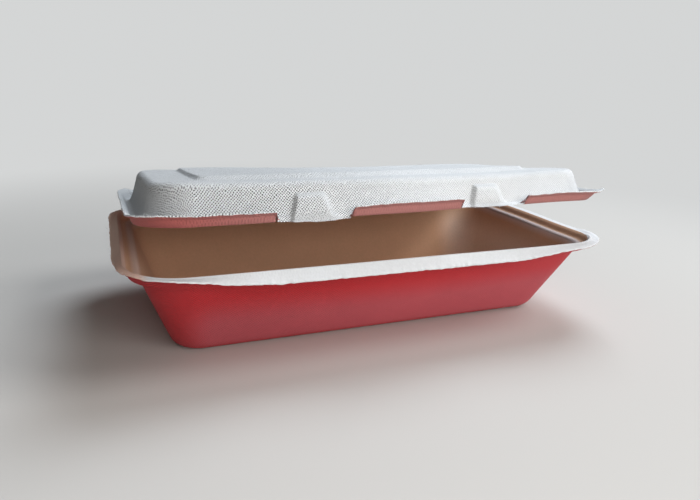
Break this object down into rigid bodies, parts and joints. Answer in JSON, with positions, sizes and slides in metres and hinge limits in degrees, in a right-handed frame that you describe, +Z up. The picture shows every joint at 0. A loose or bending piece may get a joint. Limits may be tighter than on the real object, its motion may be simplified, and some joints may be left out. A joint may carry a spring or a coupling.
{
  "type": "clamshell food container",
  "caption": "Moulded-pulp clamshell food container: drafted tray with a rimmed ledge and a shallow panelled lid on a folding band, standing ajar.",
  "frame": {"origin": "middle of the tray's foot, on the surface it stands on", "axes": "+X along the length, +Y towards the folding band at the back, +Z up"},
  "size_m": [0.229, 0.132, 0.0744],
  "materials": {
    "tray_pulp": "matt moulded pulp, red outside, brown inside, pale rim",
    "lid_pulp": "matt moulded pulp, white and screen-marked outside, rose underneath"
  },
  "bodies": {
    "base": {"base_tray": "tray_pulp"},
    "lid": {"lid_cover": "lid_pulp"}
  },
  "joints": [
    {"name": "lid_hinge", "type": "hinge", "parent": "base", "child": "lid", "pos_m": [0, 0.0672, 0.0454], "axis": [-1, 0, 0], "range_deg": [-9.6, 173.7]}
  ]
}
